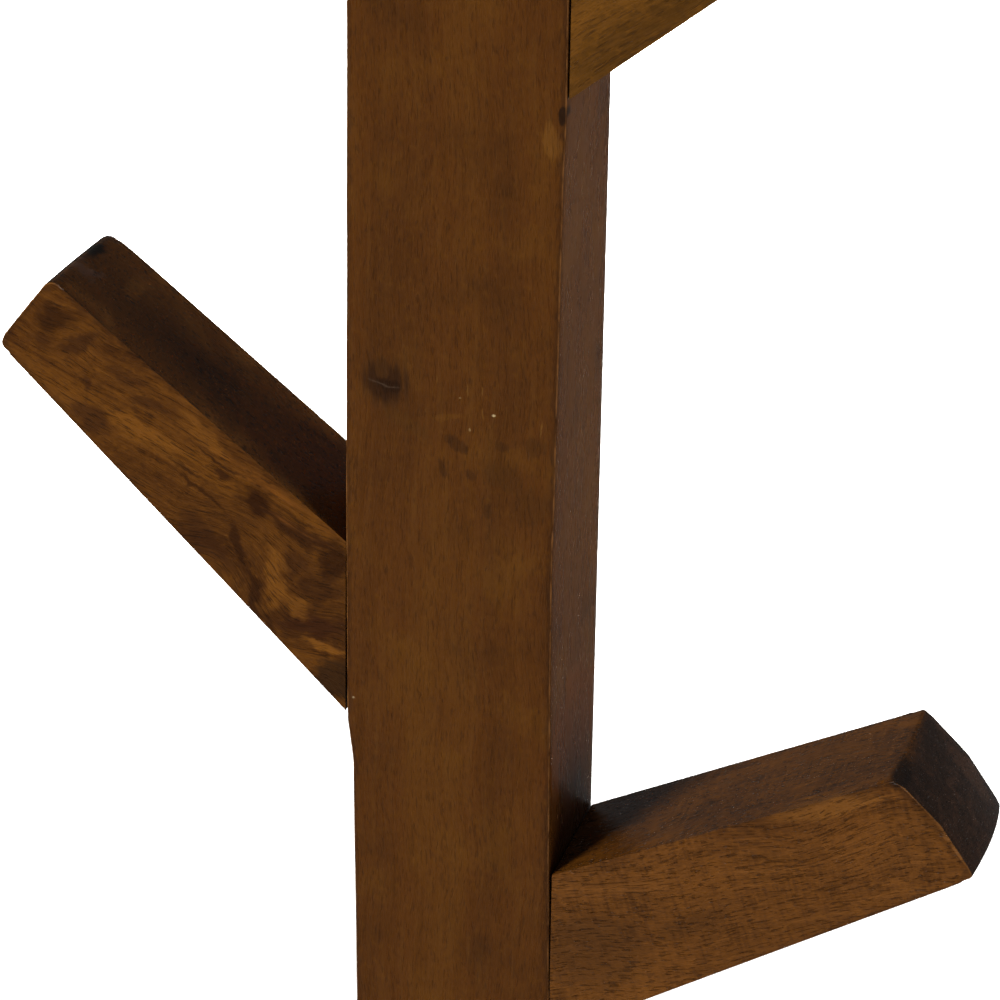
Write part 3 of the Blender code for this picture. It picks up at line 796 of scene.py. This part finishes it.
FELT_SIDES = 96
FELT_ARRIS = 0.00025
FACE_RINGS = (0.0006, 0.0012, 0.0020, 0.0020)  # between the rings of points on a face, from the rim in
RAGGED_EDGE = 0.00022
FRAY_SIZE = 1 / 1600  # of the rim's raggedness, which runs in from RIM of its radius
RIM = 0.95
UNEVEN_FACE = 0.00008
DENT_SIZE = 1 / 700

first_low, first_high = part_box("front_left_felt_disc")
felt_size = first_high - first_low
bpy.ops.object.select_all(action="DESELECT")
bpy.ops.mesh.primitive_cylinder_add(vertices=FELT_SIDES, radius=felt_size.x / 2, depth=felt_size.z)
pattern = bpy.context.object
bpy.ops.object.mode_set(mode="EDIT")
pick(pattern, "EDGE", is_sharp)
bpy.ops.mesh.bevel(offset=FELT_ARRIS, segments=2, affect="EDGES")
for level in (-0.25, 0, 0.25):
    score((0, 0, level * felt_size.z), (0, 0, 1))
for step in FACE_RINGS:
    pick(pattern, "FACE", lambda face: abs(face.normal.z) > FACES_UP and len(face.verts) == FELT_SIDES)
    bpy.ops.mesh.inset(thickness=step)
bpy.ops.object.mode_set(mode="OBJECT")
for point in pattern.data.vertices:
    outwards = Vector((point.co.x, point.co.y, 0))
    frayed = noise.noise(point.co / FRAY_SIZE) if outwards.length > RIM * felt_size.x / 2 else 0
    point.co -= outwards.normalized() * RAGGED_EDGE * (0.5 + 0.5 * frayed)
    point.co.z *= 1 - UNEVEN_FACE / felt_size.z * (1 + noise.noise(point.co / DENT_SIZE))

# Matt and hairy: short brown and tan fibres. Real ones are 0.02 mm thick, too fine to show, so they are
# drawn as tufts of half a millimetre.
felt, tree, shader = new_material("brown wool felt", 0.95, 1.4)
felt_place = put(tree, "TexCoord", give="Object")
hair = put(tree, "TexNoise", {"Vector": felt_place, "Scale": 1800.0, "Detail": 4.0})
tree.links.new(lay(tree, colour("2c2019"), "54402f", hair, 0.35, 0.70, 1.0), shader.inputs["Base Color"])
fuzz = put(tree, "Bump", {"Strength": 0.6, "Distance": 0.0002, "Height": hair})
tree.links.new(fuzz, shader.inputs["Normal"])
pattern.data.materials.append(felt)

for name in [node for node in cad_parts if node.endswith("_felt_disc")]:
    low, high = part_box(name)
    disc = pattern.copy()
    disc.data = pattern.data.copy()
    disc.name = disc.data.name = name + "_cut"
    bpy.context.scene.collection.objects.link(disc)
    disc.data.transform(Matrix.Translation((low + high) / 2))
    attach(disc, "root")
    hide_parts(name)
bpy.data.objects.remove(pattern)

# ---- Studio -----------------------------------------------------------------------------------------
# A pale floor, a weak even light all round, a soft box from the front left that gives the shadows, a low
# one from the right, a strip for the gloss, a light that whitens the floor behind, and the camera.

SWING, LIFT, ROLL = math.radians(17.52), math.radians(25.16), math.radians(0.82)
DISTANCE = 0.45926
SENSOR, LENS = 36, 128.2  # in millimetres
ALL_ROUND = 0.10  # strength of the even light
LOOKS_AT = Vector((0.00339, 0, 0.27565))

bpy.ops.object.select_all(action="DESELECT")
bpy.ops.mesh.primitive_plane_add(size=12)
floor = bpy.context.object
floor.name = "floor"
# matt white paper, which takes soft shadows and shows no grain
paper, tree, shader = new_material("white paper sweep", 0.9, 1.4)
shader.inputs["Base Color"].default_value = colour("f6f5f3")
floor.data.materials.append(paper)
floor.visible_glossy = False

world = bpy.data.worlds.new("studio")
world.use_nodes = True
world.node_tree.nodes["Background"].inputs["Color"].default_value = (1, 1, 1, 1)
world.node_tree.nodes["Background"].inputs["Strength"].default_value = ALL_ROUND
bpy.context.scene.world = world
bpy.context.scene.view_settings.view_transform = "Standard"


def soft_box(name, swing, lift, distance, width, height, watts):
    """A soft light that looks at the middle of the tree, from swing and lift degrees round it."""
    made = bpy.data.lights.new(name, "AREA")
    made.shape = "RECTANGLE"
    made.size, made.size_y, made.energy = width, height, watts
    box = bpy.data.objects.new(name, made)
    bpy.context.scene.collection.objects.link(box)
    a, e = math.radians(swing), math.radians(lift)
    out = Vector((math.sin(a) * math.cos(e), -math.cos(a) * math.cos(e), math.sin(e)))
    box.location = LOOKS_AT + out * distance
    box.rotation_euler = out.to_track_quat("Z", "Y").to_euler()
    box.visible_camera = False
    box.visible_glossy = False
    return box


soft_box("front left soft box", -42, 15, 1.3, 0.40, 0.40, 19)
soft_box("right soft box", 92, 4, 1.2, 0.9, 0.5, 11.5)
glint = soft_box("glint strip", 20, 58, 1.2, 0.8, 0.3, 8)
glint.visible_glossy, glint.visible_diffuse = True, False
backdrop = soft_box("backdrop light", 180, 50, 1.6, 1.6, 1.4, 90)
backdrop.location = (-0.2, 1.4, 1.3)
backdrop.rotation_euler = (0, 0, 0)
backdrop.data.spread = math.radians(58)

lens = bpy.data.cameras.new("camera")
lens.sensor_width = SENSOR
lens.lens = LENS
camera = bpy.data.objects.new("camera", lens)
bpy.context.scene.collection.objects.link(camera)
back = Vector((math.sin(SWING) * math.cos(LIFT), -math.cos(SWING) * math.cos(LIFT), math.sin(LIFT)))
camera.location = LOOKS_AT + back * DISTANCE
aimed = back.to_track_quat("Z", "Y").to_matrix()
camera.rotation_euler = (aimed @ Matrix.Rotation(ROLL, 3, "Z")).to_euler()
bpy.context.scene.camera = camera
